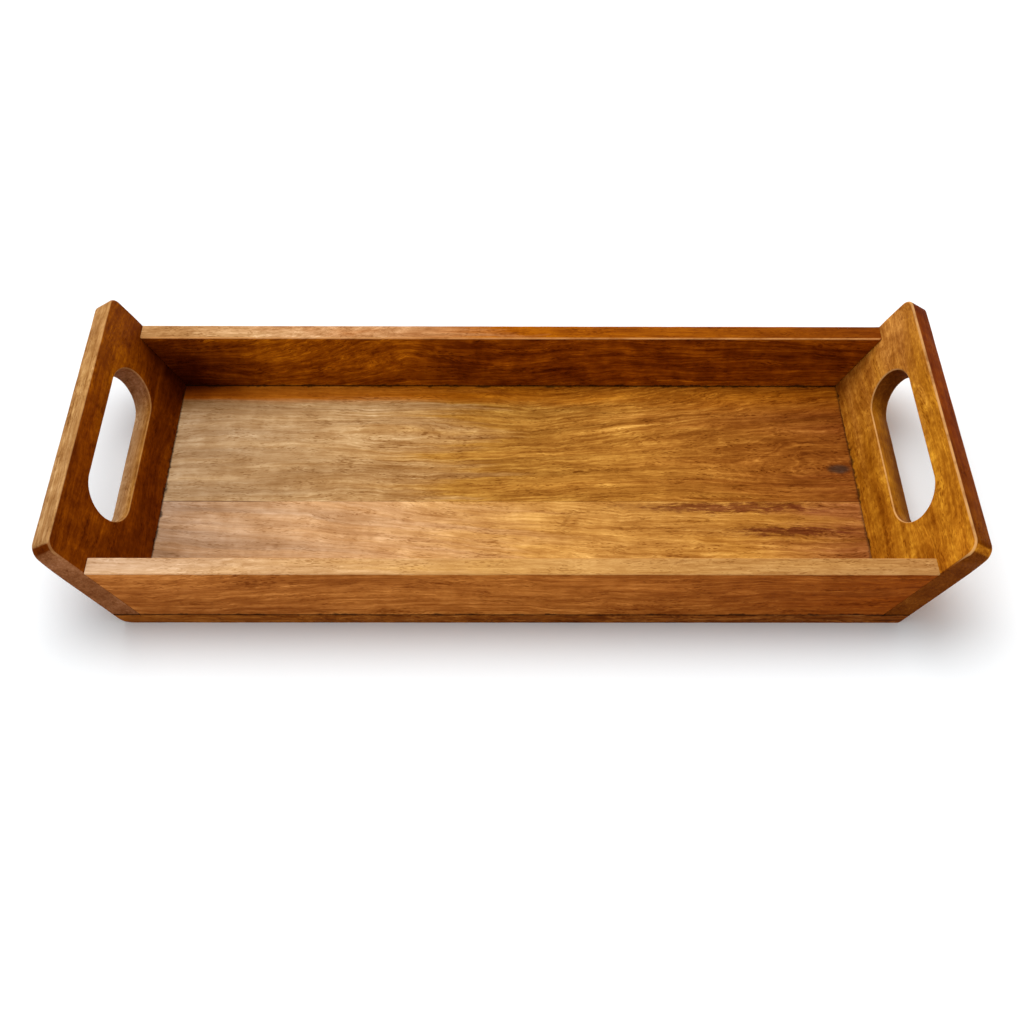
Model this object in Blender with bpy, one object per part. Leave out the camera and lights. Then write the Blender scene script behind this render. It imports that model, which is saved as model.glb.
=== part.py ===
"""Small wooden serving tray: a flat base, two low rails and two flared end panels with hand holds.

Frame: metres, +Z up. The origin lies on the surface that the tray stands on, under the middle of
the base. +X runs to the right end panel and +Y to the back rail.
"""
import math

import bmesh
import bpy
from mathutils import Matrix, Vector

# Driving dimensions
TRAY_WIDTH = 0.180                      # across the outer faces of the rails, at the deck
DECK_LENGTH = 0.3768                    # between the end panels, at the deck
BASE_THICKNESS = 0.0072
RAIL_THICKNESS = 0.0106
RAIL_HEIGHT = 0.0347                    # above the deck
RAIL_LEAN = math.radians(3.65)          # the rails lean outwards
PANEL_THICKNESS = 0.0117
PANEL_SLANT = 0.0663                    # up the inner face, along its slope
PANEL_FLARE = math.radians(31.87)       # the end panels lean outwards
PANEL_CORNER = 0.007                    # radius of the two top corners
SEAM_Y = -0.0118                        # glue line between the two base boards
EDGE_ROUND = 0.0008                     # eased arris of every board
GAP = 0.0003                            # between neighbouring pieces

# Hand hold, in the plane of the end panel
SLOT_LENGTH = 0.1063
SLOT_WIDTH = 0.0295
SLOT_END = 0.0176                       # length of each rounded end
SLOT_RISE = 0.0365                      # centre line, up the slope from the deck
SLOT_SHIFT = 0.0023                     # centre, behind the middle of the panel
SLOT_SIDES = 48

# Fluted dowels between the rails and the end panels
DOWEL_RADIUS = 0.003
DOWEL_FLUTE = 0.00025
DOWEL_FLUTES = 12
DOWEL_LENGTH = 0.030
DOWEL_IN_PANEL = 0.007
DOWEL_CHAMFER = 0.0008
DOWEL_HEIGHTS = {"low": 0.0105, "high": 0.0240}
DOWEL_END_ROOM = 0.001

# Countersunk screws, driven up through the base
SCREW_LENGTH = 0.016
SCREW_RECESS = 0.0008                   # lowest point of a head, above the standing surface
SCREW_SIDES = 12
HEAD_RADIUS = 0.0034
HEAD_RIM = 0.0003
CROSS_REACH = 0.0018
CROSS_WIDTH = 0.0008
CROSS_DEPTH = 0.0014
THREAD_RADIUS = 0.00175
THREAD_DEPTH = 0.0005
THREAD_PITCH = 0.0014
THREAD_LEVELS = 3                       # rings in one turn of the thread
PLAIN_SHANK = 0.0045                    # end of the plain shank, from the head's face
TIP_LENGTH = 0.003
TIP_RADIUS = 0.0003
BORE_END_ROOM = 0.001
RAIL_SCREWS = {"left": -0.130, "middle": 0.0, "right": 0.130}
PANEL_SCREWS = {"front": -0.045, "back": 0.045}

CUT_MARGIN = 0.005                      # how far a cutter runs past the wood

SIDES = {"left": -1, "right": 1}
FACES = {"front": -1, "back": 1}


def clear_scene():
    for item in list(bpy.data.objects):
        bpy.data.objects.remove(item, do_unlink=True)


# Where the faces lie

def half_width(z):
    """Distance from the middle to the outer face of a rail, at height z."""
    return TRAY_WIDTH / 2 + (z - BASE_THICKNESS) * math.tan(RAIL_LEAN)


def panel_inner_x(z):
    """Distance from the middle to the inner face of an end panel, at height z."""
    return DECK_LENGTH / 2 + (z - BASE_THICKNESS) * math.tan(PANEL_FLARE)


def panel_outer_x(z):
    return panel_inner_x(z) + PANEL_THICKNESS / math.cos(PANEL_FLARE)


def on_panel(side, y, rise, depth):
    """A point of an end panel: rise up its inner face, depth out through its thickness."""
    x = DECK_LENGTH / 2 + rise * math.sin(PANEL_FLARE) + depth * math.cos(PANEL_FLARE)
    z = BASE_THICKNESS + rise * math.cos(PANEL_FLARE) - depth * math.sin(PANEL_FLARE)
    return Vector((side * x, y, z))


def rail_middle_y(face, z):
    return face * (half_width(z) - RAIL_THICKNESS / math.cos(RAIL_LEAN) / 2)


# Materials and objects

def finish(name, colour, roughness, metallic=0.0):
    material = bpy.data.materials.new(name)
    material.use_nodes = True
    shader = material.node_tree.nodes["Principled BSDF"]
    shader.inputs["Base Color"].default_value = (*colour, 1.0)
    shader.inputs["Roughness"].default_value = roughness
    shader.inputs["Metallic"].default_value = metallic
    return material


def add_object(name, bm, material):
    bmesh.ops.recalc_face_normals(bm, faces=bm.faces)
    mesh = bpy.data.meshes.new(name)
    bm.to_mesh(mesh)
    bm.free()
    mesh.materials.append(material)
    return link_object(name, mesh)


def link_object(name, mesh):
    item = bpy.data.objects.new(name, mesh)
    bpy.context.collection.objects.link(item)
    return item


def add_cutter(name, bm):
    cutter = add_object(name, bm, finish(name, (0.2, 0.2, 0.8), 0.5))
    cutter.hide_render = True
    cutter.display_type = "WIRE"
    return cutter


def ease_edges(item):
    bevel = item.modifiers.new("eased_edges", "BEVEL")
    bevel.width = EDGE_ROUND
    bevel.segments = 2
    bevel.limit_method = "ANGLE"
    bevel.angle_limit = math.radians(30)


def cut_with(item, cutter):
    cut = item.modifiers.new(cutter.name, "BOOLEAN")
    cut.operation = "DIFFERENCE"
    cut.solver = "EXACT"
    cut.object = cutter


# Shapes

def block(place):
    """A six-sided block; place turns a corner's signs (x, y, z) into its position."""
    bm = bmesh.new()
    bmesh.ops.create_cube(bm, size=2.0)
    for vert in bm.verts:
        vert.co = place(*(round(value) for value in vert.co))
    return bm


def skin(bm, rings):
    """Close a body over rings that all have the same number of corners."""
    loops = [[bm.verts.new(point) for point in ring] for ring in rings]
    for low, high in zip(loops, loops[1:]):
        for i in range(len(low)):
            bm.faces.new((low[i - 1], low[i], high[i], high[i - 1]))
    bm.faces.new(list(reversed(loops[0])))
    bm.faces.new(loops[-1])


def circle(radius, z, sides=SCREW_SIDES):
    turns = [math.tau * i / sides for i in range(sides)]
    return [Vector((radius * math.cos(t), radius * math.sin(t), z)) for t in turns]


def slice_off(bm, point, normal):
    """Saw along a plane and drop what lies on the side of its normal."""
    everything = list(bm.verts) + list(bm.edges) + list(bm.faces)
    cut = bmesh.ops.bisect_plane(bm, geom=everything, plane_co=point, plane_no=normal, clear_outer=True)
    rim = [part for part in cut["geom_cut"] if isinstance(part, bmesh.types.BMEdge)]
    bmesh.ops.contextual_create(bm, geom=rim)


# Base boards

def base_board(face, material):
    """One of the two boards of the base. Its ends follow the slope of the end panels."""
    def place(x, y, z):
        height = BASE_THICKNESS if z > 0 else 0.0
        outside = y == face
        across = face * half_width(height) if outside else SEAM_Y + face * GAP / 2
        return Vector((x * panel_outer_x(height), across, height))

    name = "base_board_front" if face < 0 else "base_board_back"
    board = add_object(name, block(place), material)
    ease_edges(board)
    return board


# Rails

def rail(name, face, material):
    """A low rail on the base, its ends cut to the slope of the end panels."""
    def place(x, y, z):
        height = BASE_THICKNESS + (RAIL_HEIGHT if z > 0 else GAP)
        depth = 0.0 if y > 0 else RAIL_THICKNESS / math.cos(RAIL_LEAN)
        end = panel_inner_x(height) - GAP / math.cos(PANEL_FLARE)
        return Vector((x * end, face * (half_width(height) - depth), height))

    piece = add_object(name, block(place), material)
    ease_edges(piece)
    return piece


# End panels

def slot_outline(side, depth):
    """The rounded hand hold, as a ring of points at one depth in the end panel."""
    points = []
    straight = SLOT_LENGTH / 2 - SLOT_END
    for i in range(SLOT_SIDES):
        turn = math.tau * (i + 0.5) / SLOT_SIDES
        y = SLOT_SHIFT + math.copysign(straight, math.cos(turn)) + SLOT_END * math.cos(turn)
        rise = SLOT_RISE + SLOT_WIDTH / 2 * math.sin(turn)
        points.append(on_panel(side, y, rise, depth))
    return points


def slot_cutter(name, side):
    bm = bmesh.new()
    skin(bm, [slot_outline(side, -CUT_MARGIN), slot_outline(side, PANEL_THICKNESS + CUT_MARGIN)])
    return add_cutter(name + "_slot", bm)


def panel_plank(side):
    """A plank along the slope, sawn level at its foot and in line with the rails' outer faces."""
    def place(x, y, z):
        rise = PANEL_SLANT if z > 0 else -CUT_MARGIN
        depth = PANEL_THICKNESS if x > 0 else 0.0
        return on_panel(side, y * (TRAY_WIDTH / 2 + 2 * CUT_MARGIN), rise, depth)

    bm = block(place)
    slice_off(bm, (0, 0, BASE_THICKNESS + GAP), (0, 0, -1))
    for face in FACES.values():
        normal = (0, face * math.cos(RAIL_LEAN), -math.sin(RAIL_LEAN))
        slice_off(bm, (0, face * TRAY_WIDTH / 2, BASE_THICKNESS), normal)
    return bm


def round_top_corners(bm, side):
    slope = on_panel(side, 0, 1, 0) - on_panel(side, 0, 0, 0)
    top = on_panel(side, 0, PANEL_SLANT, 0).dot(slope)
    corners = []
    for edge in bm.edges:
        first, second = edge.verts
        at_top = all(abs(vert.co.dot(slope) - top) < EDGE_ROUND for vert in edge.verts)
        if at_top and abs(first.co.y - second.co.y) < PANEL_THICKNESS:
            corners.append(edge)
    bmesh.ops.bevel(bm, geom=corners, offset=PANEL_CORNER, segments=6, profile=0.5,
                    affect="EDGES", material=-1)


def end_panel(name, side, material):
    bm = panel_plank(side)
    round_top_corners(bm, side)
    panel = add_object(name, bm, material)
    cut_with(panel, slot_cutter(name, side))
    ease_edges(panel)
    return panel


# Dowels

def dowel_places():
    """Name, side and centre of every dowel. They lie level, along the rails."""
    for side_name, side in SIDES.items():
        for face_name, face in FACES.items():
            for level, height in DOWEL_HEIGHTS.items():
                z = BASE_THICKNESS + height
                x = panel_inner_x(z) + DOWEL_IN_PANEL - DOWEL_LENGTH / 2
                centre = Vector((side * x, rail_middle_y(face, z), z))
                yield f"rail_dowel_{face_name}_{side_name}_{level}", centre


def fluted_ring(radius, z):
    ring = circle(1.0, 0.0, 2 * DOWEL_FLUTES)
    radii = [radius - DOWEL_FLUTE * (i % 2) for i in range(len(ring))]
    return [Vector((point.x * r, point.y * r, z)) for point, r in zip(ring, radii)]


def dowel_mesh(material):
    bm = bmesh.new()
    half = DOWEL_LENGTH / 2
    narrow = DOWEL_RADIUS - DOWEL_CHAMFER
    skin(bm, [fluted_ring(narrow, -half), fluted_ring(DOWEL_RADIUS, DOWEL_CHAMFER - half),
              fluted_ring(DOWEL_RADIUS, half - DOWEL_CHAMFER), fluted_ring(narrow, half)])
    bmesh.ops.rotate(bm, cent=(0, 0, 0), matrix=Matrix.Rotation(math.pi / 2, 3, "Y"), verts=bm.verts)
    bmesh.ops.recalc_face_normals(bm, faces=bm.faces)
    mesh = bpy.data.meshes.new("rail_dowel")
    bm.to_mesh(mesh)
    bm.free()
    mesh.materials.append(material)
    return mesh


def dowel_bores():
    bm = bmesh.new()
    half = DOWEL_LENGTH / 2 + DOWEL_END_ROOM
    for _, centre in dowel_places():
        bore = Matrix.Translation(centre) @ Matrix.Rotation(math.pi / 2, 4, "Y")
        bmesh.ops.create_cone(bm, cap_ends=True, segments=16, radius1=DOWEL_RADIUS + GAP,
                              radius2=DOWEL_RADIUS + GAP, depth=2 * half, matrix=bore)
    return add_cutter("dowel_bores", bm)


# Screws

def screw_places():
    """Name and placing of every screw. Each runs up the middle of the board that it holds."""
    for face_name, face in FACES.items():
        axis = Vector((0, face * math.sin(RAIL_LEAN), math.cos(RAIL_LEAN)))
        for place_name, x in RAIL_SCREWS.items():
            joint = Vector((x, rail_middle_y(face, BASE_THICKNESS), BASE_THICKNESS))
            yield f"rail_screw_{face_name}_{place_name}", screw_matrix(joint, axis)
    for side_name, side in SIDES.items():
        axis = Vector((side * math.sin(PANEL_FLARE), 0, math.cos(PANEL_FLARE)))
        x = (panel_inner_x(BASE_THICKNESS) + panel_outer_x(BASE_THICKNESS)) / 2
        for place_name, y in PANEL_SCREWS.items():
            joint = Vector((side * x, y, BASE_THICKNESS))
            yield f"panel_screw_{side_name}_{place_name}", screw_matrix(joint, axis)


def screw_matrix(joint, axis):
    """Put the head's face on the axis, its whole rim SCREW_RECESS or more above the ground."""
    tilt = math.acos(axis.z)
    head_z = SCREW_RECESS + HEAD_RADIUS * math.sin(tilt)
    head = joint - axis * ((joint.z - head_z) / axis.z)
    turn = Vector((0, 0, 1)).rotation_difference(axis)
    return Matrix.Translation(head) @ turn.to_matrix().to_4x4()


def cross_outline(z, shrink):
    """The cross recess: twelve corners, in step with the rings of the screw."""
    reach = CROSS_REACH - shrink
    half = CROSS_WIDTH / 2 - shrink / 4
    arm = [(reach, half), (half, half), (half, reach)]
    ring = []
    for quarter in range(4):
        turn = Matrix.Rotation(quarter * math.pi / 2, 3, "Z")
        ring += [turn @ Vector((x, y, z)) for x, y in arm]
    return ring


def thread_ring(z):
    """A ring of the thread: its radius rises and falls once in a turn and once in a pitch."""
    to_tip = min(1.0, (SCREW_LENGTH - z) / TIP_LENGTH)
    crest = TIP_RADIUS + (THREAD_RADIUS - TIP_RADIUS) * to_tip
    ring = []
    for i, point in enumerate(circle(1.0, 0.0)):
        phase = (z / THREAD_PITCH - i / SCREW_SIDES) % 1.0
        radius = crest - THREAD_DEPTH * to_tip * abs(2 * phase - 1)
        ring.append(Vector((point.x * radius, point.y * radius, z)))
    return ring


def screw_mesh(material):
    """Face down at z = 0, tip up at SCREW_LENGTH."""
    neck = HEAD_RIM + HEAD_RADIUS - THREAD_RADIUS
    shank = THREAD_RADIUS - THREAD_DEPTH / 2
    step = THREAD_PITCH / THREAD_LEVELS
    levels = int((SCREW_LENGTH - PLAIN_SHANK) / step)
    half_step = Matrix.Rotation(-math.pi / SCREW_SIDES, 3, "Z")
    cross = [cross_outline(CROSS_DEPTH, CROSS_WIDTH), cross_outline(0.0, 0.0)]
    rings = [[half_step @ point for point in ring] for ring in cross]
    rings += [circle(HEAD_RADIUS, 0.0), circle(HEAD_RADIUS, HEAD_RIM), circle(shank, neck)]
    rings += [circle(shank, PLAIN_SHANK - step)]
    rings += [thread_ring(PLAIN_SHANK + step * level) for level in range(levels)]
    rings += [circle(TIP_RADIUS, SCREW_LENGTH)]
    bm = bmesh.new()
    skin(bm, rings)
    bmesh.ops.recalc_face_normals(bm, faces=bm.faces)
    mesh = bpy.data.meshes.new("wood_screw")
    bm.to_mesh(mesh)
    bm.free()
    mesh.materials.append(material)
    return mesh


def screw_bores():
    """The countersunk holes, a gap wider than the screws and open below the base."""
    neck = HEAD_RIM + HEAD_RADIUS - THREAD_RADIUS
    bm = bmesh.new()
    for _, place in screw_places():
        wide = HEAD_RADIUS + GAP
        narrow = THREAD_RADIUS + GAP
        rings = [circle(wide, -CUT_MARGIN), circle(wide, HEAD_RIM), circle(narrow, neck),
                 circle(narrow, SCREW_LENGTH + BORE_END_ROOM)]
        skin(bm, [[place @ point for point in ring] for ring in rings])
    return add_cutter("screw_bores", bm)


# The tray

def build_tray():
    dowels_out = dowel_bores()
    screws_out = screw_bores()

    deck_brown = (0.50, 0.27, 0.09)
    boards = [base_board(-1, finish("base_front_wood", (0.55, 0.29, 0.12), 0.42)),
              base_board(1, finish("base_back_wood", deck_brown, 0.42))]
    rails = [rail("front_rail", -1, finish("front_rail_wood", (0.40, 0.16, 0.04), 0.42)),
             rail("back_rail", 1, finish("back_rail_wood", (0.22, 0.07, 0.01), 0.42))]
    panels = [end_panel("left_end_panel", -1, finish("left_panel_wood", (0.26, 0.08, 0.01), 0.4)),
              end_panel("right_end_panel", 1, finish("right_panel_wood", (0.42, 0.17, 0.02), 0.4))]
    for piece in boards + rails + panels:
        cut_with(piece, screws_out)
    for piece in rails + panels:
        cut_with(piece, dowels_out)

    dowel = dowel_mesh(finish("dowel_wood", (0.62, 0.45, 0.27), 0.6))
    for name, centre in dowel_places():
        link_object(name, dowel).location = centre

    screw = screw_mesh(finish("screw_steel", (0.55, 0.5, 0.38), 0.35, metallic=1.0))
    screw.shade_smooth()
    screw.set_sharp_from_angle(angle=math.radians(35))
    for name, place in screw_places():
        link_object(name, screw).matrix_world = place


clear_scene()
build_tray()
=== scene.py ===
"""Looks for a small wooden serving tray: base boards, rails, end panels, dowels and screws."""
import math

import bmesh
import bpy
from mathutils import Matrix, Vector, noise


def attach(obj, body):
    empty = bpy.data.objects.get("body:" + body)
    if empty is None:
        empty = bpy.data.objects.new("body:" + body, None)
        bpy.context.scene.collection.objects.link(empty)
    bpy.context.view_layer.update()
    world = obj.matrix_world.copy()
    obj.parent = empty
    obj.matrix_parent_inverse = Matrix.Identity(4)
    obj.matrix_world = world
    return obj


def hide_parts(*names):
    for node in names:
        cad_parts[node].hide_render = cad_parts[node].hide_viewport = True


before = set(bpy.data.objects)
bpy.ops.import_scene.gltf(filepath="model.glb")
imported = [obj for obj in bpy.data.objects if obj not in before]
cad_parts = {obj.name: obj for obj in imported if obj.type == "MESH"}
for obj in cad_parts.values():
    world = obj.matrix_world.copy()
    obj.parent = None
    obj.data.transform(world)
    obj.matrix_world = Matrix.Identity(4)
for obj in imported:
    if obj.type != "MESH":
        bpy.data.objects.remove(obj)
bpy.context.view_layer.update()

# ---------------------------------------------------------------------------------------------
# Base boards. Two hardwood boards, glued edge to edge, planed and sanded flush, then oiled.
# Their ends are sawn to the slope of the end panels that stand on them.
# ---------------------------------------------------------------------------------------------

MM = 0.001
tray_width = 180.0 * MM              # over the rails' outer faces, at the deck
deck_length = 376.8 * MM             # between the end panels, at the deck
base_thickness = 7.2 * MM
panel_thickness = 11.7 * MM
rail_thickness = 10.6 * MM
panel_flare = math.radians(31.87)
rail_lean = math.radians(3.65)
rail_depth = rail_thickness / math.cos(rail_lean)    # a rail's thickness, measured level
seam_y = -11.8 * MM
glue_line = 0.04 * MM                # half of the gap in the glued seam
joint_gap = 0.3 * MM                 # between boards that only butt together
cut_spacing = 5.0 * MM               # how finely a board's faces are divided
head_radius = 3.4 * MM               # the screws that come up through the base
head_rim = 0.3 * MM
head_recess = 0.8 * MM
shank_radius = 1.5 * MM
screw_length = 16.0 * MM
rail_screw_x = {"left": -130.0 * MM, "middle": 0.0, "right": 130.0 * MM}
panel_screw_y = {"front": -45.0 * MM, "back": 45.0 * MM}


def half_width(z):
    return tray_width / 2 + (z - base_thickness) * math.tan(rail_lean)


def panel_inner_x(z):
    return deck_length / 2 + (z - base_thickness) * math.tan(panel_flare)


def panel_outer_x(z):
    return panel_inner_x(z) + panel_thickness / math.cos(panel_flare)


def block(place):
    """A six-sided blank; place turns a corner's signs into its position."""
    bm = bmesh.new()
    bmesh.ops.create_cube(bm, size=2.0)
    for vert in bm.verts:
        vert.co = place(*(round(value) for value in vert.co))
    bmesh.ops.recalc_face_normals(bm, faces=bm.faces)
    return bm


def screw_places():
    """The node's name and the placing of each screw: its face is at z = 0, its tip is up."""
    for face_name, face in {"front": -1, "back": 1}.items():
        axis = Vector((0, face * math.sin(rail_lean), math.cos(rail_lean)))
        for place_name, x in rail_screw_x.items():
            joint = Vector((x, face * (tray_width / 2 - rail_depth / 2), base_thickness))
            yield f"rail_screw_{face_name}_{place_name}", screw_matrix(joint, axis)
    for side_name, side in {"left": -1, "right": 1}.items():
        axis = Vector((side * math.sin(panel_flare), 0, math.cos(panel_flare)))
        middle = (panel_inner_x(base_thickness) + panel_outer_x(base_thickness)) / 2
        for place_name, y in panel_screw_y.items():
            joint = Vector((side * middle, y, base_thickness))
            yield f"panel_screw_{side_name}_{place_name}", screw_matrix(joint, axis)


def screw_matrix(joint, axis):
    """A screw along axis through joint; its tilted head lies just inside the base's underside."""
    tilt = math.acos(axis.z)
    head_z = head_recess + head_radius * math.sin(tilt)
    head = joint - axis * ((joint.z - head_z) / axis.z)
    turn = Vector((0, 0, 1)).rotation_difference(axis)
    return Matrix.Translation(head) @ turn.to_matrix().to_4x4()


def turned(profile, steps=48):
    """A closed round body from its half outline, given as radius and height."""
    bm = bmesh.new()
    points = [bm.verts.new((radius, 0, height)) for radius, height in profile]
    outline = [bm.edges.new(pair) for pair in zip(points, points[1:])]
    bmesh.ops.spin(bm, geom=points + outline, axis=(0, 0, 1), cent=(0, 0, 0),
                   angle=2 * math.pi, steps=steps, use_merge=True)
    bmesh.ops.remove_doubles(bm, verts=bm.verts, dist=1e-7)
    bmesh.ops.recalc_face_normals(bm, faces=bm.faces)
    return bm


def bored(bm):
    """Drill and countersink the base for its screws."""
    wide = head_radius + joint_gap
    narrow = shank_radius + joint_gap
    below = -10 * MM
    for _, place in screw_places():
        bore = turned([(0, below), (wide, below), (wide, head_rim),
                       (narrow, head_rim + wide - narrow), (narrow, screw_length), (0, screw_length)])
        bmesh.ops.transform(bore, matrix=place, verts=bore.verts)
        bm = cut_out(bm, bore)
    return bm


def cut_out(bm, core):
    """Take the core away from the blank."""
    blank, tool = (bpy.data.meshes.new(part) for part in ("blank", "tool"))
    bm.to_mesh(blank)
    core.to_mesh(tool)
    core.free()
    plank, cutter = (bpy.data.objects.new(mesh.name, mesh) for mesh in (blank, tool))
    for item in (plank, cutter):
        bpy.context.collection.objects.link(item)
    cut = plank.modifiers.new("cut", "BOOLEAN")
    cut.object = cutter
    cut.solver = "EXACT"
    shaped = plank.evaluated_get(bpy.context.evaluated_depsgraph_get())
    bm.clear()
    bm.from_mesh(shaped.to_mesh())
    shaped.to_mesh_clear()
    for mesh in (blank, tool):
        bpy.data.meshes.remove(mesh)
    return bm


def divide(bm, direction, margin=1.6 * MM):
    """Draw even cross lines over the faces, so that the wood can be a little uneven, and one
    close to each end, so that the faces stay flat up to their rounded arrises."""
    run = Vector(direction).normalized()
    reach = [vert.co.dot(run) for vert in bm.verts]
    low, high = min(reach), max(reach)
    lines = round((high - low) / cut_spacing)
    places = [low + (high - low) * i / lines for i in range(1, lines)]
    for place in [low + margin, *places, high - margin]:
        bmesh.ops.bisect_plane(bm, geom=bm.verts[:] + bm.edges[:] + bm.faces[:], dist=1e-7,
                               plane_co=run * place, plane_no=run)


def ease(bm, wanted, radius, segments=4):
    """Round over the sharp arrises that wanted picks, and mark the rounding for the worn finish, whose
    light colour is partly a painted highlight.
    """
    wear_and_highlight = bm.verts.layers.float.get("wear_and_highlight") or bm.verts.layers.float.new("wear_and_highlight")
    bm.normal_update()
    sharp = [edge for edge in bm.edges if edge.calc_face_angle(0.0) > math.radians(25) and wanted(edge)]
    made = bmesh.ops.bevel(bm, geom=sharp, offset=radius, segments=segments, profile=0.5,
                           affect="EDGES", material=-1, clamp_overlap=True)
    strips = set(made["faces"])
    for vert in made["verts"]:
        if all(face in strips for face in vert.link_faces):
            vert[wear_and_highlight] = 1.0


def uneven(bm, amount, seed):
    """Hand sanding: the faces wander a little inwards, in waves of about 40 and 7 mm, and the
    worn arrises more."""
    wear_and_highlight = bm.verts.layers.float["wear_and_highlight"]
    bm.normal_update()
    shifts = []
    for vert in bm.verts:
        slow = noise.noise(vert.co * 25 + Vector((seed, 0, 0)))
        quick = noise.noise(vert.co * 140 + Vector((0, seed, 0)))
        worn = vert[wear_and_highlight] * max(0.0, quick + 0.2) * 2.5
        shifts.append(vert.normal * (slow * 0.7 + quick * 0.3 - 1.0 - worn) * amount)
    for vert, shift in zip(bm.verts, shifts):
        vert.co += shift


def finished(name, bm, material, node):
    """Turn the worked blank into a piece of the tray that stands for its CAD node."""
    mesh = bpy.data.meshes.new(name)
    bm.to_mesh(mesh)
    bm.free()
    mesh.materials.append(material)
    mesh.shade_smooth()
    mesh.set_sharp_from_angle(angle=math.radians(42))
    piece = bpy.data.objects.new(name, mesh)
    bpy.context.collection.objects.link(piece)
    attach(piece, "root")
    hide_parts(node)


class Value:
    """One output in a material. Arithmetic on it adds the Math nodes that it needs."""

    def __init__(self, finish, output):
        self.finish = finish
        self.output = output

    def join(self, operation, *numbers):
        return self.finish.node("ShaderNodeMath", {"operation": operation}, dict(enumerate(numbers)))

    def __add__(self, other):
        return self.join("ADD", self, other)

    def __radd__(self, other):
        return self.join("ADD", other, self)

    def __sub__(self, other):
        return self.join("SUBTRACT", self, other)

    def __rsub__(self, other):
        return self.join("SUBTRACT", other, self)

    def __mul__(self, other):
        return self.join("MULTIPLY", self, other)

    def __rmul__(self, other):
        return self.join("MULTIPLY", other, self)

    def __neg__(self):
        return self.join("MULTIPLY", self, -1.0)

    def __truediv__(self, other):
        return self.join("DIVIDE", self, other)

    def __pow__(self, other):
        return self.join("POWER", self, other)

    def __abs__(self):
        return self.join("ABSOLUTE", self)

    def exp(self):
        return self.join("EXPONENT", self)

    def least(self, other):
        return self.join("MINIMUM", self, other)

    def most(self, other):
        return self.join("MAXIMUM", self, other)

    def ease(self, low, high):
        """0 at low and 1 at high, with soft ends; low may be the larger."""
        return self.finish.node("ShaderNodeMapRange", {"interpolation_type": "SMOOTHSTEP"},
                                {"Value": self, "From Min": low, "From Max": high})


def stain(code, strength=1.0):
    """A colour from its six-figure web code, as light rather than as a screen's value."""
    parts = [int(code[i:i + 2], 16) / 255 for i in (0, 2, 4)]
    linear = [part / 12.92 if part <= 0.04045 else ((part + 0.055) / 1.055) ** 2.4 for part in parts]
    return (*(part * strength for part in linear), 1.0)


class Finish:
    """One material. Its place is the point on the object, in millimetres."""

    def __init__(self, name):
        self.material = bpy.data.materials.new(name)
        self.material.use_nodes = True
        self.tree = self.material.node_tree
        self.shader = self.tree.nodes["Principled BSDF"]
        metres = self.node("ShaderNodeTexCoord", out="Object")
        self.place = self.mapped(metres, (1 / MM, 1 / MM, 1 / MM))

    def node(self, kind, settings=None, sockets=None, out=0):
        made = self.tree.nodes.new(kind)
        for key, setting in (settings or {}).items():
            if key == "stops":
                self.fill_ramp(made.color_ramp, setting)
            else:
                setattr(made, key, setting)
        for key, value in (sockets or {}).items():
            self.feed(made.inputs[key], value)
        return Value(self, made.outputs[out])

    def feed(self, socket, value):
        if isinstance(value, Value):
            self.tree.links.new(value.output, socket)
        else:
            socket.default_value = value

    def fill_ramp(self, ramp, stops):
        for i, (position, colour) in enumerate(stops):
            stop = ramp.elements[i] if i < 2 else ramp.elements.new(position)
            stop.position = position
            stop.color = colour

    def mapped(self, vector, scale, shift=(0, 0, 0), turn=(0, 0, 0)):
        return self.node("ShaderNodeMapping", None,
                         {"Vector": vector, "Location": shift, "Rotation": turn, "Scale": scale})

    def parts(self, vector):
        split = self.node("ShaderNodeSeparateXYZ", None, {"Vector": vector})
        return [Value(self, split.output.node.outputs[i]) for i in range(3)]

    def vector(self, x, y, z):
        return self.node("ShaderNodeCombineXYZ", None, {"X": x, "Y": y, "Z": z})

    def noise(self, vector, scale, seed, detail=2.0, roughness=0.5):
        place = self.mapped(vector, scale, shift=(seed, seed * 1.7, seed * 0.6))
        return self.node("ShaderNodeTexNoise", None, {"Vector": place, "Scale": 1.0,
                                                      "Detail": detail, "Roughness": roughness})

    def mix(self, amount, first, second, blend="MIX"):
        return self.node("ShaderNodeMix", {"data_type": "RGBA", "blend_type": blend,
                                           "clamp_result": True},
                         {0: amount, 6: first, 7: second}, out=2)

    def toned(self, colour, tone):
        """Lighten (above zero) or darken a wood; the darker it is, the redder it turns."""
        shades = [(tone * strength).exp() for strength in (0.85, 1.2, 1.7)]
        return self.mix(1.0, colour, self.vector(*shades), "MULTIPLY")

    def ramp(self, amount, stops):
        return self.node("ShaderNodeValToRGB", {"stops": stops}, {"Fac": amount})


def spot(x, y, centre_x, centre_y, reach_x, reach_y):
    """1 in the middle of an oval spot, fading to nothing around it."""
    a = (x - centre_x) / reach_x
    b = (y - centre_y) / reach_y
    return (a * a + b * b + 1) ** -3.0


def marked(finish, colour, x, y, marks):
    """Lighter and darker patches, some of them painted shade in corners; each mark is its place, its
    two reaches and its tone.
    """
    for mark_x, mark_y, reach_x, reach_y, tone in marks:
        colour = finish.toned(colour, spot(x, y, mark_x, mark_y, reach_x, reach_y) * tone)
    return colour


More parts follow.
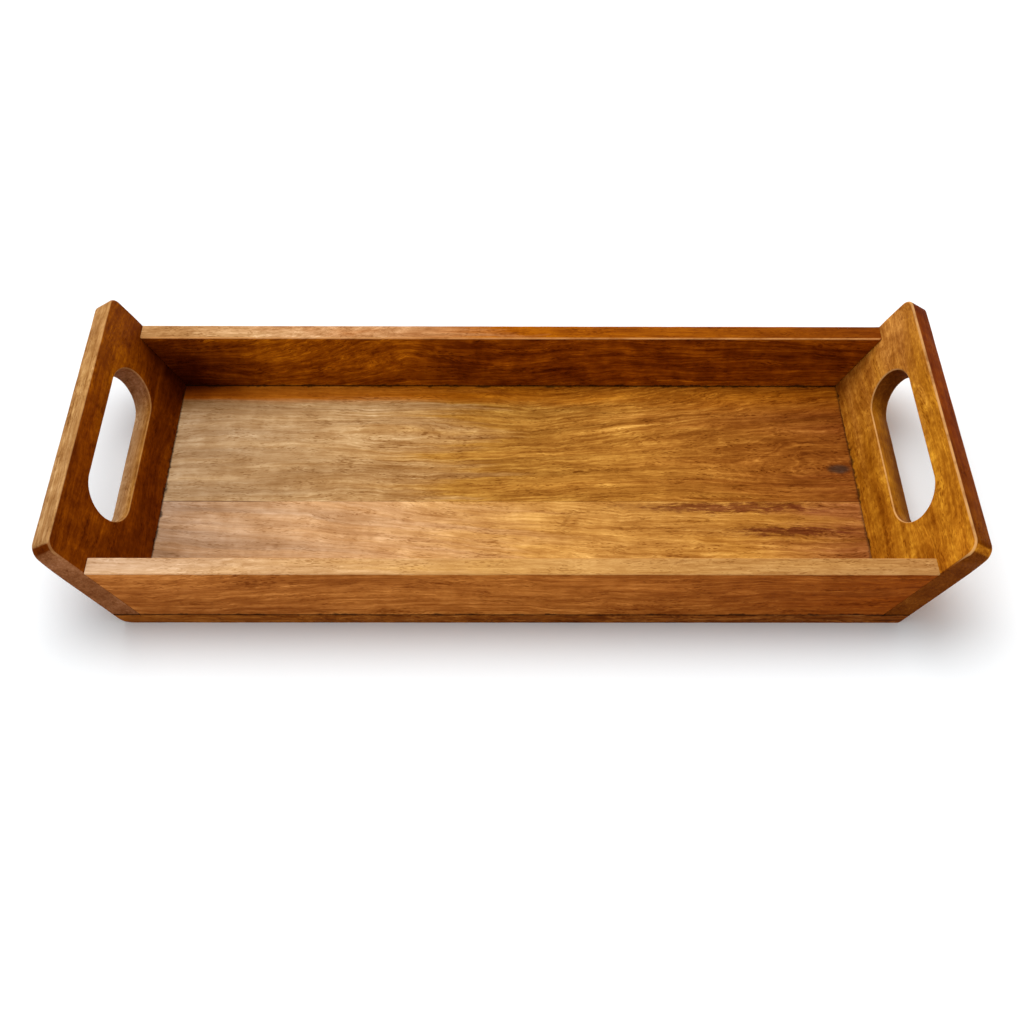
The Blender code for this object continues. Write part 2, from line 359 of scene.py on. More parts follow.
class Grain:
    """The figure of one board. The first axis of place runs along the grain, flow pushes the
    fibres sideways, and they part round each knot, given as its place, length and width."""

    def __init__(self, finish, place, seed, flow=0.0, knots=()):
        self.finish = finish
        self.raw = place
        along, across, through = finish.parts(place)
        slow = finish.noise(place, (0.007, 0.02, 0.02), seed, detail=1.0)
        drift = finish.noise(place, (0.035, 0.09, 0.09), seed + 3)
        ripple = finish.noise(place, (0.14, 0.3, 0.3), seed + 5)
        bend = (slow - 0.5) * 24 + (drift - 0.5) * 5 + (ripple - 0.5) * 1.6 + flow
        for knot_along, knot_across, length, width in knots:
            near = spot(along, across, knot_along, knot_across, length, width)
            bend = bend - (across - knot_across) * near
        self.place = finish.vector(along, across + bend, through + bend * 0.4)
        self.bands = finish.noise(self.place, (0.005, 0.12, 0.12), seed + 11, roughness=0.6)
        self.streaks = finish.noise(self.place, (0.022, 0.62, 0.62), seed + 17, detail=4.0,
                                    roughness=0.62)
        self.fibres = finish.noise(self.place, (0.14, 2.2, 2.2), seed + 23, detail=3.0, roughness=0.7)
        self.veins = finish.noise(self.place, (0.012, 0.24, 0.24), seed + 27, detail=3.0)
        self.curl = finish.noise(place, (0.13, 0.08, 0.08), seed + 29, detail=4.0, roughness=0.55)
        self.mottle = finish.noise(place, (0.04, 0.09, 0.09), seed + 31, detail=3.0, roughness=0.6)
        self.pores = self.open_pores(seed)

    def open_pores(self, seed):
        """Dark strokes along the grain, in loose clusters."""
        cells = self.finish.mapped(self.place, (0.24, 1.7, 1.7), shift=(seed, seed, seed))
        spots = self.finish.node("ShaderNodeTexVoronoi", None, {"Vector": cells, "Scale": 1.0})
        crowd = self.finish.noise(self.raw, (0.05, 0.16, 0.16), seed + 37, detail=3.0)
        return (spots + (0.56 - crowd) * 1.3).ease(0.33, 0.18)


def oil(finish, grain, colour, streaky=1.0, mottled=1.0, wear_and_highlight=0.5, worn="e0a868"):
    """The satin oil finish of every board: streaks, fibres, pores, worn arrises and relief. The light
    colour on the rounded arrises is partly wear and partly a painted highlight.
    """
    tone = (grain.streaks - 0.5) * (2.3 * streaky) + (grain.fibres - 0.5) * (1.6 * streaky)
    tone = tone + (grain.bands - 0.5) * (1.0 * streaky) + (grain.curl - 0.5) * (0.7 * mottled)
    tone = tone + (grain.mottle - 0.5) * (1.1 * mottled) - grain.pores * (streaky * 0.4 + 0.25)
    tone = tone - grain.veins.ease(0.57, 0.72) * (0.35 * streaky)
    colour = finish.toned(colour, tone)
    patches = finish.noise(grain.raw, (0.08, 0.08, 0.08), 5.0, detail=5.0, roughness=0.6)
    rubbed_and_highlit = finish.node("ShaderNodeAttribute", {"attribute_name": "wear_and_highlight"}, out="Fac")
    # Painted highlight: the rounded arrises are lightened, partly as wear and partly standing in for
    # the highlight along them; most on the back rail and the right panel.
    colour = finish.mix(rubbed_and_highlit * (patches.ease(0.25, 0.6) * 0.65 + 0.35) * wear_and_highlight, colour, stain(worn))
    relief = grain.fibres * 0.4 + grain.streaks * 0.4 - grain.pores * 0.8
    bump = finish.node("ShaderNodeBump", None, {"Strength": 0.6, "Distance": 0.00015, "Height": relief})
    finish.feed(finish.shader.inputs["Base Color"], colour)
    finish.feed(finish.shader.inputs["Roughness"],
                0.48 + (grain.fibres - 0.5) * 0.25 + grain.pores * 0.2)
    finish.feed(finish.shader.inputs["Normal"], bump)
    finish.shader.inputs["Specular IOR Level"].default_value = 0.012
    finish.shader.inputs["Specular Tint"].default_value = (1.0, 0.7, 0.4, 1.0)
    return finish.material


def grime(finish, grain, colour, distance, reach=1.0, strength=0.85):
    """Dark dirt and glue in a joint; distance is how far a point lies from it, in millimetres."""
    ragged = finish.noise(grain.raw, (0.16, 0.16, 0.16), 9.0, detail=5.0, roughness=0.6)
    edge = (ragged - 0.5).most(0.0) * (10 * reach) + 0.4
    return finish.mix((distance / edge).ease(1.9, 0.2) * strength, colour, stain("1a0d08"))


deck_z = base_thickness / MM         # the finishes work in millimetres
edge_y = tray_width / 2 / MM
end_x = deck_length / 2 / MM


def base_joints(finish, grain, colour, x, y, z):
    """Dirt where the deck meets the end panels and rails, and under the rails outside. At the
    panels it is thinner on the left and fainter on the right. The glue line shows at the left."""
    below_deck = z.ease(deck_z - 1.2, deck_z - 2.2) * 20
    foot = abs(end_x - abs(x)) + below_deck
    side = abs(edge_y - rail_thickness / MM - abs(y)) + below_deck
    outside = (deck_z - z) + abs(y).ease(edge_y - 2, edge_y - 4) * 20
    colour = grime(finish, grain, colour, foot + x.ease(0, -10) * 0.3, 0.6, 0.85 - x.ease(0, 10) * 0.4)
    colour = grime(finish, grain, colour, side, 0.6)
    colour = grime(finish, grain, colour, outside, 0.3)
    glue = abs(y - seam_y / MM) + (x + grain.bands * 60).ease(-110, -60) * 2
    return finish.mix(glue.ease(0.45, 0.1) * 0.7, colour, stain("3a1c10"))


def base_back_finish():
    """Greyish at the left and brown at the right, with a knot there and rings round it. The pale
    greyish left end is partly the wood's colour and partly a painted sheen. A strip along the back edge
    is a painted shadow of the back rail, and the back corners are painted darker as shade."""
    finish = Finish("base_back_oiled")
    x, y, z = finish.parts(finish.place)
    rising = (x - 10).most(0.0) * y.ease(5, 60) * -0.16
    grain = Grain(finish, finish.place, 1.0, flow=rising,
                  knots=[(181, 13, 10, 6), (160, 17, 34, 17), (-70, 40, 60, 16)])
    run = x / (deck_length / MM) + 0.5 + (grain.bands - 0.5) * 0.5
    # The pale greyish left end is partly the wood's colour and partly a painted sheen.
    colour = finish.ramp(run, [
        (0.0, stain("aa8863")), (1.0, stain("7b3f12")), (0.26, stain("bd9463")),
        (0.46, stain("a36d29")), (0.66, stain("a66b26")), (0.85, stain("94561b"))])
    # Painted shadow of the back rail: a darker, more orange strip along the back edge, crisp at the
    # left and broad at the right.
    fade = x.ease(-60, 110)
    back_rail_shadow = (y + (grain.bands - 0.5) * 10).ease(64.5 - fade * 12, 71 + fade * 4)
    colour = finish.mix(back_rail_shadow * (0.95 - fade * 0.4), colour, stain("b8660a"))
    # The last two marks are painted shade in the deck's back corners, darkest at the left; the others
    # are the wood's own tone.
    colour = marked(finish, colour, x, y, [
        (-105, 6, 80, 22, -0.3), (165, 18, 30, 22, -0.35), (100, 66, 90, 12, 0.15),
        (-190, 84, 44, 24, -2.6), (192, 84, 16, 12, -0.8)])
    pale_vein = spot(x, y - 0.17 * (x - 62), 62, 45, 40, 1.6)
    dark_vein = spot(x, y - 0.2 * (x - 125), 125, 45, 50, 2.5)
    around = (((x - 168) / 1.5) ** 2.0 + (y - 14) ** 2.0) ** 0.5 + (grain.mottle - 0.5) * 20
    rings = finish.noise(finish.vector(around, 0.0, 0.0), (0.55, 1.0, 1.0), 13.0, detail=3.0)
    swirl = (rings - 0.5) * spot(x, y, 158, 20, 56, 36)
    colour = finish.toned(colour, pale_vein * 0.5 - dark_vein * 0.45 + swirl * 1.6)
    knot = ((x - 181) / 6.0) ** 2.0 + ((y - 13) / 3.2) ** 2.0 + (grain.curl - 0.5) * 1.2
    colour = finish.mix(knot.ease(1.9, 0.3) * 0.85, colour, stain("34241a"))
    colour = base_joints(finish, grain, colour, x, y, z)
    return oil(finish, grain, colour, streaky=x.ease(-170, 20) * 0.6 + 0.42, mottled=0.85)


def base_front_finish():
    """Paler than the back board, with dark red streaks at the right and a browner front edge. Its pale
    greyish left end is partly the wood's colour and partly a painted sheen.
    """
    finish = Finish("base_front_oiled")
    x, y, z = finish.parts(finish.place)
    falling = (x + 110).most(0.0).least(170.0) * 0.18
    grain = Grain(finish, finish.place, 41.0, flow=falling)
    run = x / (deck_length / MM) + 0.5 + (grain.bands - 0.5) * 0.45
    # The pale greyish left end is partly the wood's colour and partly a painted sheen.
    colour = finish.ramp(run, [(0.0, stain("a68366")), (1.0, stain("945627")), (0.3, stain("c99766")),
                               (0.55, stain("c48b44")), (0.82, stain("b1752d"))])
    wavy = y + (grain.curl - 0.5) * 7
    speckle = finish.noise(grain.place, (0.13, 0.7, 0.7), 57.0, detail=4.0, roughness=0.7)
    red = spot(x, wavy, 118, -16, 100, 7.0) + spot(x, wavy, 150, -33, 60, 7.0)
    red = (red * (speckle * 3.2 - 0.7)).ease(0.2, 0.8)
    colour = finish.mix(red * 0.8, colour, stain("5c1c0c"))
    colour = marked(finish, colour, x, y, [(-175, -55, 50, 14, -0.25), (120, -60, 80, 14, 0.35)])
    edge = abs(y).ease(edge_y - 1.4, edge_y - 0.6)
    colour = finish.mix(edge, colour, finish.mix(run, stain("925018"), stain("7c3f12")))
    colour = base_joints(finish, grain, colour, x, y, z)
    return oil(finish, grain, colour, streaky=x.ease(-190, 190) * 0.6 + 0.35 + edge * 0.7,
               mottled=0.85)


left_rounding = 4.5 * MM             # where the boards' ends meet the underside
right_rounding = 1.0 * MM
side_rounding = 0.5 * MM             # along the base's long outer edges


def base_board(name, node, face, material):
    """One board; face is -1 for the front one and 1 for the back one."""
    def place(x, y, z):
        height = base_thickness if z > 0 else 0.0
        outside = y == face
        across = face * half_width(height) if outside else seam_y + face * glue_line
        return Vector((x * panel_outer_x(height), across, height))

    def at_end(edge, side):
        return all(v.co.z < MM and side * v.co.x > panel_outer_x(0) - MM for v in edge.verts)

    def along_outside(edge):
        return all(v.co.z < MM and face * v.co.y > tray_width / 2 - 2 * MM for v in edge.verts)

    bm = block(place)
    ease(bm, lambda edge: at_end(edge, -1), left_rounding, segments=6)
    ease(bm, lambda edge: at_end(edge, 1), right_rounding)
    ease(bm, along_outside, side_rounding)
    bm = bored(bm)
    divide(bm, (1, 0, 0))
    divide(bm, (0, 1, 0))
    uneven(bm, 0.04 * MM, 3.0)
    finished(name, bm, material, node)


base_board("board_back", "base_board_back", 1, base_back_finish())
base_board("board_front", "base_board_front", -1, base_front_finish())


# ---------------------------------------------------------------------------------------------
# Rails. Two low boards that stand on the base along its long sides, leaning out a little. Their
# ends are cut to the end panels' slope; screws hold them from below and dowels at the ends.
# ---------------------------------------------------------------------------------------------

rail_height = 34.7 * MM
rail_top = base_thickness + rail_height
rail_outer_rounding = 0.4 * MM
rail_inner_rounding = 0.9 * MM
rail_run = 440.0                     # millimetres over which a rail's colour goes left to right


def rail_finish(name, seed, side_stops, top_stops, streaky, mottled, wear_and_highlight, slant, marks):
    """Stained sides and a paler or differently stained top. Left of the middle, slant tilts the
    grain."""
    finish = Finish(name)
    x, y, z = finish.parts(finish.place)
    rise = z - deck_z
    drift = (x + 150).most(0.0).least(90.0) * slant
    grain = Grain(finish, finish.vector(x, z, y), seed, flow=drift)
    run = x / rail_run + 0.5 + (grain.bands - 0.5) * 0.5
    top = (rise + (grain.curl - 0.5) * 0.9).ease(rail_height / MM - 0.8, rail_height / MM - 0.35)
    colour = finish.mix(top, finish.ramp(run, side_stops), finish.ramp(run, top_stops))
    colour = marked(finish, colour, x, rise, marks)
    colour = grime(finish, grain, colour, rise, 0.6)
    return oil(finish, grain, colour, streaky=streaky * (1 - top * 0.4),
               mottled=mottled * (1 - top * 0.6), wear_and_highlight=wear_and_highlight, worn="dc9c5c")


def rail(name, node, face, material):
    """One rail; face is -1 for the front one and 1 for the back one."""
    def place(x, y, z):
        height = rail_top if z > 0 else base_thickness + joint_gap
        depth = 0.0 if y > 0 else rail_depth
        end = panel_inner_x(height) - joint_gap
        return Vector((x * end, face * (half_width(height) - depth), height))

    def along_top(edge, outside):
        first, second = (vert.co for vert in edge.verts)
        lengthwise = abs(first.x - second.x) > abs(first.y - second.y)
        on_top = lengthwise and min(first.z, second.z) > rail_top - MM
        return on_top and (face * first.y > half_width(rail_top) - rail_thickness / 2) == outside

    bm = block(place)
    divide(bm, (1, 0, 0))
    ease(bm, lambda edge: along_top(edge, True), rail_outer_rounding)
    ease(bm, lambda edge: along_top(edge, False), rail_inner_rounding)
    divide(bm, (0, 0, 1))
    uneven(bm, 0.05 * MM, 7.0 + face)
    finished(name, bm, material, node)


rail("rail_front", "front_rail", -1, rail_finish(
    "front_rail_oiled", 83.0,
    side_stops=[(0.0, stain("a76028")), (1.0, stain("863c08")), (0.5, stain("ac6426"))],
    top_stops=[(0.0, stain("c9a27e")), (1.0, stain("aa7944")), (0.5, stain("c28d4c"))],
    streaky=0.9, mottled=0.8, wear_and_highlight=0.4, slant=0.0,
    marks=[(-30, 22, 60, 6, 0.15), (150, 14, 70, 12, -0.15)]))
rail("rail_back", "back_rail", 1, rail_finish(
    "back_rail_oiled", 127.0,
    side_stops=[(0.0, stain("be6b0a")), (1.0, stain("8d4304")), (0.5, stain("843d03"))],
    top_stops=[(0.0, stain("ebc18f")), (1.0, stain("733304")), (0.45, stain("a15504"))],
    streaky=1.2, mottled=2.0, wear_and_highlight=0.9, slant=-0.25,
    # The mark at x = -196 is painted shade in the back-left corner, at the rail's left end; the other
    # marks are the wood's own tone.
    marks=[(-30, 13, 18, 14, -0.6), (-100, 26, 80, 12, 0.25), (-196, 0, 60, 45, -3.0),
           (60, 24, 70, 10, 0.2)]))


# ---------------------------------------------------------------------------------------------
# End panels. Planks that flare outwards, grain running from front to back, with rounded top
# corners and a long hand hold cut square through them; all arrises are well rounded by sanding.
# The right-hand one is shaped, and the left-hand one is its mirror image.
# ---------------------------------------------------------------------------------------------

panel_slant = 66.3 * MM
panel_corner = 7.0 * MM
slot_length = 106.3 * MM
slot_width = 29.5 * MM
slot_end = 17.6 * MM
slot_rise = 36.5 * MM
slot_shift = 2.3 * MM
slot_rounding = 0.8 * MM
panel_rounding = 1.2 * MM
panel_run = 190.0                    # millimetres over which a panel's colour goes front to back
slope = Vector((math.sin(panel_flare), 0, math.cos(panel_flare)))
outwards = Vector((math.cos(panel_flare), 0, -math.sin(panel_flare)))
panel_foot = Vector((deck_length / 2, 0, base_thickness))


def on_panel(y, rise, depth):
    """The point at y, so far up the slope and so deep in from the panel's inner face."""
    return panel_foot + slope * rise + outwards * depth + Vector((0, y, 0))


def slice_off(bm, point, normal):
    """Saw off what lies beyond a plane, and close the cut."""
    cut = bmesh.ops.bisect_plane(bm, geom=bm.verts[:] + bm.edges[:] + bm.faces[:], plane_co=point,
                                 plane_no=normal, clear_outer=True)
    rim = [part for part in cut["geom_cut"] if isinstance(part, bmesh.types.BMEdge)]
    bmesh.ops.contextual_create(bm, geom=rim)


def panel_plank():
    """The plank, sawn level at its foot and to the rails' lean at its ends, its corners rounded."""
    margin = 10 * MM

    def place(x, y, z):
        rise = panel_slant if z > 0 else -margin
        return on_panel(y * (tray_width / 2 + margin), rise, panel_thickness if x > 0 else 0.0)

    def at_corner(edge):
        first, second = (vert.co - panel_foot for vert in edge.verts)
        on_top = min(first.dot(slope), second.dot(slope)) > panel_slant - MM
        return on_top and abs(first.y - second.y) < 5 * MM

    bm = block(place)
    slice_off(bm, (0, 0, base_thickness + joint_gap), (0, 0, -1))
    for face in (-1, 1):
        normal = (0, face * math.cos(rail_lean), -math.sin(rail_lean))
        slice_off(bm, (0, face * tray_width / 2, base_thickness), normal)
    corners = [edge for edge in bm.edges if at_corner(edge)]
    bmesh.ops.bevel(bm, geom=corners, offset=panel_corner, segments=12, profile=0.5,
                    affect="EDGES", material=-1)
    return bm


def hand_hold():
    """The slot's core: a disc pulled out to a long rounded shape, then drawn through the plank."""
    bm = bmesh.new()
    margin = 5 * MM
    straight = slot_length / 2 - slot_end
    sides = 96
    ring = bmesh.ops.create_circle(bm, cap_ends=True, segments=sides, radius=1.0)["verts"]
    bmesh.ops.rotate(bm, verts=ring, cent=(0, 0, 0), matrix=Matrix.Rotation(math.pi / sides, 3, "Z"))
    for vert in ring:
        across = slot_shift + math.copysign(straight, vert.co.x) + slot_end * vert.co.x
        vert.co = on_panel(across, slot_rise + slot_width / 2 * vert.co.y, -margin)
    drawn = bmesh.ops.extrude_face_region(bm, geom=bm.faces[:])["geom"]
    bmesh.ops.translate(bm, verts=[part for part in drawn if isinstance(part, bmesh.types.BMVert)],
                        vec=outwards * (panel_thickness + 2 * margin))
    bmesh.ops.recalc_face_normals(bm, faces=bm.faces)
    return bm


def panel_finish(name, side, seed, broad_stops, top_stops, slot_stops, front_colour, wear_and_highlight, marks):
    """Stained broad faces; the narrow faces and the slot's walls are coloured differently. Part of this
    is painted light and shade: the two panels, their tops and their slot walls are painted as a light
    from the left shows them, with painted shade in the lower corners, along the deck and at the back
    end of the slot.
    """
    finish = Finish(name)
    x, y, z = finish.parts(finish.place)
    upright = x * side - end_x
    level = z - deck_z
    rise = upright * math.sin(panel_flare) + level * math.cos(panel_flare)
    depth = upright * math.cos(panel_flare) - level * math.sin(panel_flare)
    grain = Grain(finish, finish.vector(y, rise, depth), seed)
    run = y / panel_run + 0.5 + (grain.bands - 0.5) * 0.9
    ragged = (grain.curl - 0.5) * 0.8
    top = (rise + ragged).ease(panel_slant / MM - 1.2, panel_slant / MM - 0.5)
    forward = -y - level * math.tan(rail_lean)
    front = (forward + ragged).ease(edge_y - 1.2, edge_y - 0.5)
    end = (abs(y - slot_shift / MM) - (slot_length / 2 - slot_end) / MM).most(0.0) / (slot_end / MM)
    side_on = (rise - slot_rise / MM) / (slot_width / 2 / MM)
    wall = (end * end + side_on * side_on + ragged * 0.02).ease(1.09, 1.05)
    flecks = finish.noise(grain.place, (0.28, 0.5, 0.5), seed + 41, detail=3.0, roughness=0.6)
    # The broad faces' colour is partly stain and partly painted light and shade: darker on the left
    # panel, lighter on the right.
    colour = finish.toned(finish.ramp(run, broad_stops), (flecks - 0.5) * 1.3)
    # The marks are painted shade in the panel's lower corners and along the deck.
    colour = marked(finish, colour, y, rise, marks)
    # The slot's walls change colour across the panel's thickness, partly as painted light and shade in
    # the hand hold.
    colour = finish.mix(wall, colour, finish.ramp(depth / (panel_thickness / MM), slot_stops))
    # Painted shade at the back end of the slot.
    slot_end_shade = wall * y.ease(38, 54)
    colour = finish.mix(slot_end_shade, colour, stain(front_colour, 0.8))
    # The top's colour is partly painted light and shade: pale on the left panel, dark on the right.
    colour = finish.mix(top, colour, finish.ramp(run, top_stops))
    colour = finish.mix(front, colour, stain(front_colour))
    colour = grime(finish, grain, colour, rise, 0.9)
    return oil(finish, grain, colour, streaky=0.65, mottled=1.4, wear_and_highlight=wear_and_highlight)


def end_panel(name, node, side, material):
    """One panel; side is -1 for the left one and 1 for the right one."""
    def in_slot(vert):
        upwards = (vert.co - panel_foot).dot(slope) - slot_rise
        lengthwise = vert.co.y - slot_shift
        margin = 0.2 * MM
        return abs(upwards) < slot_width / 2 + margin and abs(lengthwise) < slot_length / 2 + margin

    def around_slot(edge):
        return all(in_slot(vert) for vert in edge.verts)

    def outer_arris(edge):
        return all(v.co.z > base_thickness + MM for v in edge.verts) and not around_slot(edge)

    bm = cut_out(panel_plank(), hand_hold())
    bmesh.ops.dissolve_limit(bm, angle_limit=0.001, verts=bm.verts, edges=bm.edges)
    ease(bm, around_slot, slot_rounding)
    ease(bm, outer_arris, panel_rounding)
    divide(bm, (0, 1, 0))
    divide(bm, slope)
    uneven(bm, 0.05 * MM, 11.0 + side)
    if side < 0:
        bmesh.ops.scale(bm, vec=(-1, 1, 1), verts=bm.verts)
        bmesh.ops.reverse_faces(bm, faces=bm.faces)
    finished(name, bm, material, node)


# The left panel is painted in shade: darker broad faces, marks of painted shade in the back-lower
# corner and along the deck, a paler lit top and slot walls paler towards the outer face.
end_panel("end_panel_left", "left_end_panel", -1, panel_finish(
    "left_panel_oiled", -1, 163.0,
    broad_stops=[(0.0, stain("6e2f01")), (1.0, stain("9d5301")), (0.5, stain("7a3601"))],
    top_stops=[(0.0, stain("b08454")), (1.0, stain("b5834d")), (0.5, stain("a5743e"))],
    slot_stops=[(0.0, stain("8f591b")), (1.0, stain("a97e54"))],
    front_colour="8a5430", wear_and_highlight=0.25,
    marks=[(94, 0, 60, 70, -2.6), (10, -5, 110, 40, -0.75)]))
# The right panel is painted in light: lighter broad faces, a darker shaded top, slot walls near black
# towards the outer face, and marks of painted shade in the lower corners and along the deck.
end_panel("end_panel_right", "right_end_panel", 1, panel_finish(
    "right_panel_oiled", 1, 211.0,
    broad_stops=[(0.0, stain("ac6513")), (1.0, stain("b2712c")), (0.5, stain("ba771a"))],
    top_stops=[(0.0, stain("673001")), (1.0, stain("6b2a01")), (0.5, stain("732e01"))],
    slot_stops=[(0.0, stain("9b5c0e")), (1.0, stain("5d2c01"))],
    front_colour="6e3609", wear_and_highlight=0.75,
    marks=[(80, 0, 25, 24, -0.6), (-85, 0, 25, 20, -0.4), (10, 0, 110, 30, -0.45)]))


# ---------------------------------------------------------------------------------------------
# Dowels. Fluted beech pins, two in each end of each rail, glued across the joint into the panels.
# They are left unstained, with chamfered ends.
# ---------------------------------------------------------------------------------------------

dowel_radius = 3.0 * MM
dowel_length = 30.0 * MM
dowel_in_panel = 7.0 * MM
dowel_chamfer = 0.8 * MM
dowel_heights = {"low": 10.5 * MM, "high": 24.0 * MM}
flutes = 12
flute_depth = 0.25 * MM


def dowel_finish():
    """Pale beech with small darker flecks."""
    finish = Finish("dowel_beech")
    grain = Grain(finish, finish.place, 251.0)
    fleck = finish.noise(finish.place, (0.35, 2.0, 2.0), 7.0, detail=1.0).ease(0.58, 0.68)
    colour = finish.mix(fleck * 0.5, stain("d8b486"), stain("b08050"))
    return oil(finish, grain, colour, streaky=0.5, mottled=0.4)


def dowel(name, node, centre, material):
    """One pin, laid from left to right with its middle at centre."""
    bm = bmesh.new()
    bmesh.ops.create_cone(bm, cap_ends=True, segments=48, radius1=dowel_radius, radius2=dowel_radius,
                          depth=dowel_length)
    rims = [edge for edge in bm.edges if edge.calc_face_angle(0.0) > math.radians(60)]
    bmesh.ops.bevel(bm, geom=rims, offset=dowel_chamfer, segments=1, profile=0.5,
                    affect="EDGES", material=-1)
    for vert in bm.verts:
        turn = math.atan2(vert.co.y, vert.co.x)
        depth = flute_depth * (0.5 - 0.5 * math.cos(flutes * turn))
        vert.co.xy *= 1 - depth / dowel_radius
    bm.verts.layers.float.new("wear_and_highlight")
    bmesh.ops.rotate(bm, cent=(0, 0, 0), matrix=Matrix.Rotation(math.pi / 2, 3, "Y"), verts=bm.verts)
    bmesh.ops.translate(bm, vec=centre, verts=bm.verts)
    finished(name, bm, material, node)


beech = dowel_finish()
for side_name, side in {"left": -1, "right": 1}.items():
    for face_name, face in {"front": -1, "back": 1}.items():
        for level, height in dowel_heights.items():
            z = base_thickness + height
            x = panel_inner_x(z) + dowel_in_panel - dowel_length / 2
            y = half_width(z) - rail_depth / 2
            place = f"{face_name}_{side_name}_{level}"
            dowel("dowel_" + place, "rail_dowel_" + place, Vector((side * x, face * y, z)), beech)


# ---------------------------------------------------------------------------------------------
# Screws. Zinc-plated wood screws with flat countersunk heads and a cross recess, driven up through
# the base: three into each rail and two into each end panel.
# ---------------------------------------------------------------------------------------------

thread_start = 4.5 * MM
thread_pitch = 1.4 * MM
thread_height = 0.25 * MM            # how far the ridge stands out from the shank
thread_root = 0.1 * MM               # how far it is sunk into it
thread_width = 0.7 * MM
tip_length = 3.0 * MM
cross_reach = 1.8 * MM
cross_width = 0.8 * MM
cross_depth = 1.4 * MM


def zinc_finish():
    """Zinc that has dulled in clouds, with fine scratches and a little brown dirt."""
    finish = Finish("screw_zinc")
    cloud = finish.noise(finish.place, (0.5, 0.5, 0.5), 3.0, detail=4.0, roughness=0.6)
    scratch = finish.noise(finish.place, (9.0, 1.2, 3.0), 8.0, detail=3.0)
    dull = cloud.ease(0.35, 0.7)
    colour = finish.mix(dull, stain("c8bca0"), stain("8c8474"))
    dirt = finish.noise(finish.place, (0.8, 0.8, 0.8), 21.0, detail=3.0).ease(0.56, 0.7)
    finish.feed(finish.shader.inputs["Base Color"], finish.mix(dirt * 0.7, colour, stain("4a3624")))
    finish.feed(finish.shader.inputs["Roughness"], 0.3 + dull * 0.2 + dirt * 0.25)
    finish.feed(finish.shader.inputs["Normal"], finish.node("ShaderNodeBump", None, {
        "Strength": 0.3, "Distance": 0.00004, "Height": scratch}))
    finish.shader.inputs["Metallic"].default_value = 0.9
    return finish.material


def recess_bar(turn):
    """One arm of the cross recess, right across the head and tapering as it sinks in."""
    def place(x, y, z):
        taper = 0.55 if z > 0 else 1.0
        height = cross_depth if z > 0 else -MM
        corner = Vector((x * cross_reach * taper, y * cross_width / 2 * taper, height))
        return Matrix.Rotation(turn, 3, "Z") @ corner

    return block(place)


def thread():
    """A ridge that winds up the shank; its root is sunk a little into it."""
    bm = bmesh.new()
    root = shank_radius - thread_root
    crest = shank_radius + thread_height
    ridge = ((root, 0, -thread_width / 2), (crest, 0, 0), (root, 0, thread_width / 2))
    points = [bm.verts.new(place) for place in ridge]
    edges = [bm.edges.new((points[i], points[(i + 1) % 3])) for i in range(3)]
    turns = int((screw_length - tip_length - thread_start) / thread_pitch)
    steps = 24
    bmesh.ops.spin(bm, geom=points + edges, axis=(0, 0, 1), cent=(0, 0, 0), steps=turns * steps,
                   angle=turns * 2 * math.pi, dvec=(0, 0, thread_pitch / steps))
    bmesh.ops.holes_fill(bm, edges=bm.edges)
    bmesh.ops.translate(bm, verts=bm.verts, vec=(0, 0, thread_start))
    bmesh.ops.recalc_face_normals(bm, faces=bm.faces)
    return bm


def wood_screw():
    """A screw that stands on its head: the turned blank, its cross recess and its thread."""
    neck = head_rim + head_radius - shank_radius
    chamfer = 0.1 * MM
    bm = turned([(0, 0), (head_radius - chamfer, 0), (head_radius, chamfer), (head_radius, head_rim),
                 (shank_radius, neck), (shank_radius, screw_length - tip_length), (0, screw_length)])
    for turn in (0, math.pi / 2):
        bm = cut_out(bm, recess_bar(turn))
    ridge = bpy.data.meshes.new("thread")
    wound = thread()
    wound.to_mesh(ridge)
    wound.free()
    bm.from_mesh(ridge)
    bpy.data.meshes.remove(ridge)
    return bm


zinc = zinc_finish()
screw = wood_screw()
for node, place in screw_places():
    bm = screw.copy()
    bmesh.ops.transform(bm, matrix=place, verts=bm.verts)
    finished("wood_" + node, bm, zinc, node)
screw.free()


# ---------------------------------------------------------------------------------------------
# The studio. A white table top, lit by a pale sky all round and by one very wide lamp, high up
# behind the tray and a little to its left. The camera looks down on the front of the tray.
# ---------------------------------------------------------------------------------------------

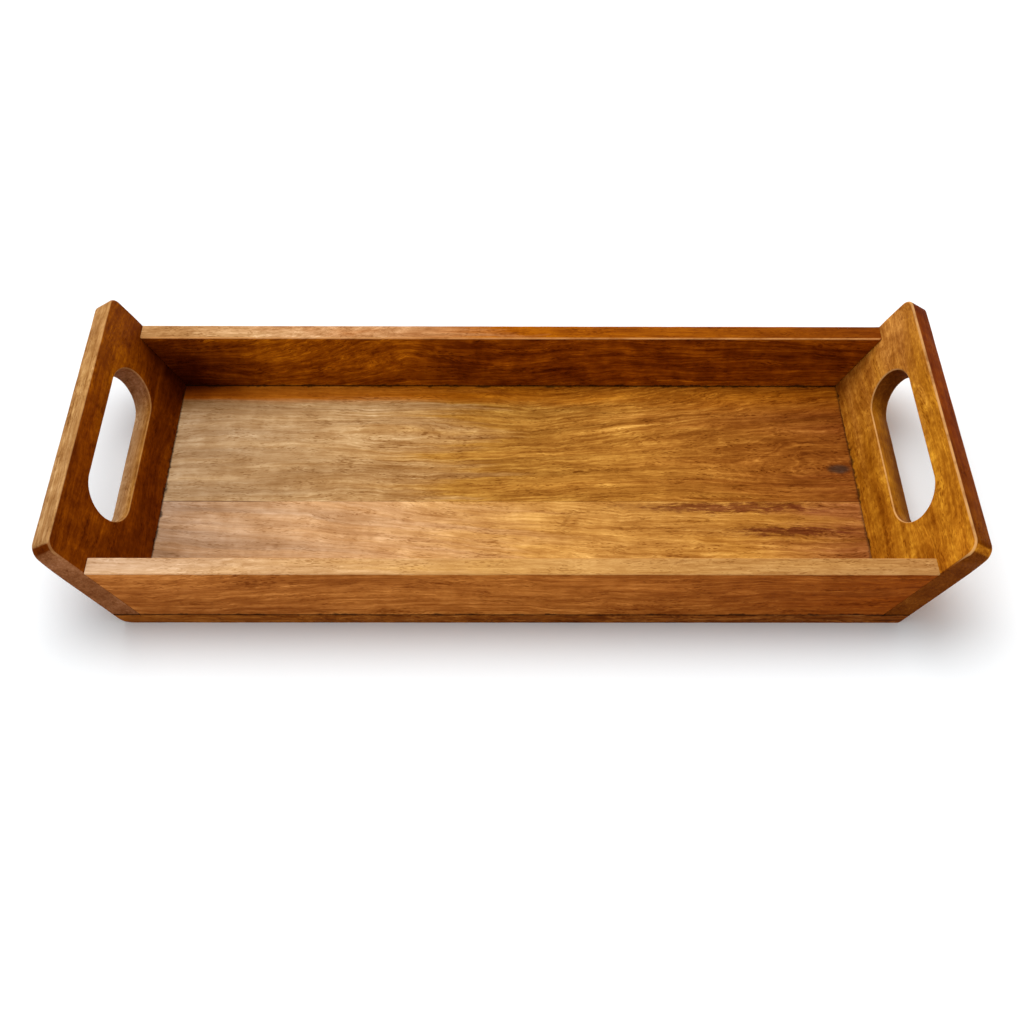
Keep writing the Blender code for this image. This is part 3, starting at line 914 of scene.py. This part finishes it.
def white_floor():
    bm = bmesh.new()
    bmesh.ops.create_grid(bm, x_segments=1, y_segments=1, size=20.0)
    mesh = bpy.data.meshes.new("table_top")
    bm.to_mesh(mesh)
    bm.free()
    floor = bpy.data.objects.new("table_top", mesh)
    bpy.context.collection.objects.link(floor)
    finish = Finish("table_top_white")
    finish.shader.inputs["Base Color"].default_value = (0.92, 0.945, 0.96, 1.0)
    finish.shader.inputs["Roughness"].default_value = 0.9
    finish.shader.inputs["Specular IOR Level"].default_value = 0.0
    mesh.materials.append(finish.material)


def soft_light():
    """The sky lights the tray less than it shows in the picture, where it is plain white."""
    sky_light = 0.61
    sky_seen = 1.0
    world = bpy.data.worlds.new("studio")
    bpy.context.scene.world = world
    world.use_nodes = True
    background = world.node_tree.nodes["Background"]
    background.inputs["Color"].default_value = (1.0, 1.0, 1.0, 1.0)
    sight = world.node_tree.nodes.new("ShaderNodeLightPath")
    strength = world.node_tree.nodes.new("ShaderNodeMapRange")
    strength.inputs["To Min"].default_value = sky_light
    strength.inputs["To Max"].default_value = sky_seen
    world.node_tree.links.new(sight.outputs["Is Camera Ray"], strength.inputs["Value"])
    world.node_tree.links.new(strength.outputs["Result"], background.inputs["Strength"])
    lamp = bpy.data.lights.new("soft_key", "SUN")
    lamp.energy = 2.25
    lamp.angle = math.radians(56)
    key = bpy.data.objects.new("soft_key", lamp)
    bpy.context.collection.objects.link(key)
    key.rotation_mode = "QUATERNION"
    key.rotation_quaternion = Vector((-0.17, 0.38, 0.91)).to_track_quat("Z", "Y")


def main_camera():
    """In front of the tray and above it, turned a little to the right and not quite level."""
    pitch = math.radians(47.709)
    yaw = math.radians(0.592)
    roll = math.radians(0.493)
    ahead = Vector((math.sin(yaw) * math.cos(pitch), math.cos(yaw) * math.cos(pitch), -math.sin(pitch)))
    level = Vector((math.cos(yaw), -math.sin(yaw), 0.0))
    above = level.cross(ahead)
    right = level * math.cos(roll) + above * math.sin(roll)
    up = above * math.cos(roll) - level * math.sin(roll)
    data = bpy.data.cameras.new("main")
    data.sensor_width = 36.0
    data.lens = 54.53
    camera = bpy.data.objects.new("main", data)
    bpy.context.collection.objects.link(camera)
    camera.matrix_world = Matrix((right, up, -ahead)).transposed().to_4x4()
    camera.location = (-0.00575, -0.58080, 0.62431)
    bpy.context.scene.camera = camera


white_floor()
soft_light()
main_camera()
bpy.context.scene.view_settings.view_transform = "Standard"
